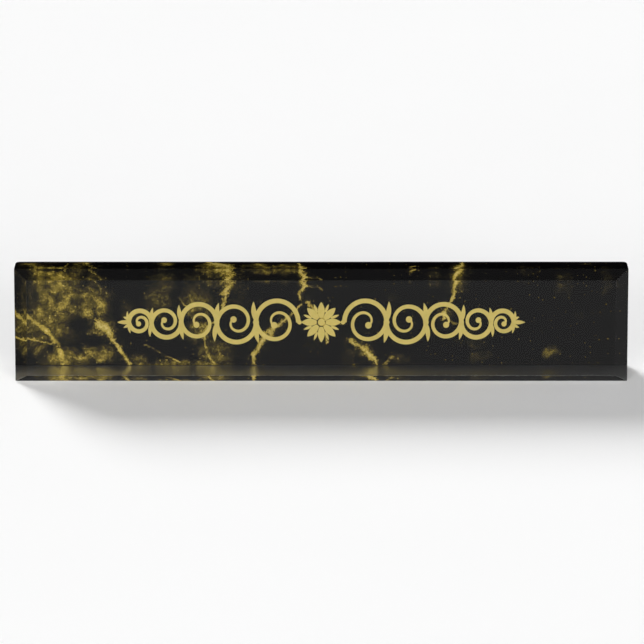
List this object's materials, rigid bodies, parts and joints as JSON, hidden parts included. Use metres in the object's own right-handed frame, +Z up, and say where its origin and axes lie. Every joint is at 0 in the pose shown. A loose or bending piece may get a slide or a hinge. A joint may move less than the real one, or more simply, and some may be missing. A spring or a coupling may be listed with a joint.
{
  "type": "desk name plate",
  "caption": "Free-standing clear acrylic wedge block with a bevelled leaning front and a black and gold marble print on its back.",
  "frame": {"origin": "middle of the bounding box, at the level of the base that the plate stands on", "axes": "+X along the plate to the viewer's right, -Y towards the viewer, +Z up; the back is upright and faces +Y"},
  "size_m": [0.254, 0.0232, 0.0454],
  "materials": {
    "clear_acrylic": "polished",
    "printed_film": "satin",
    "black_vinyl": "matte"
  },
  "bodies": {
    "root": {"acrylic_block": "clear_acrylic", "marble_print": "printed_film", "backing_sheet": "black_vinyl"}
  },
  "joints": []
}
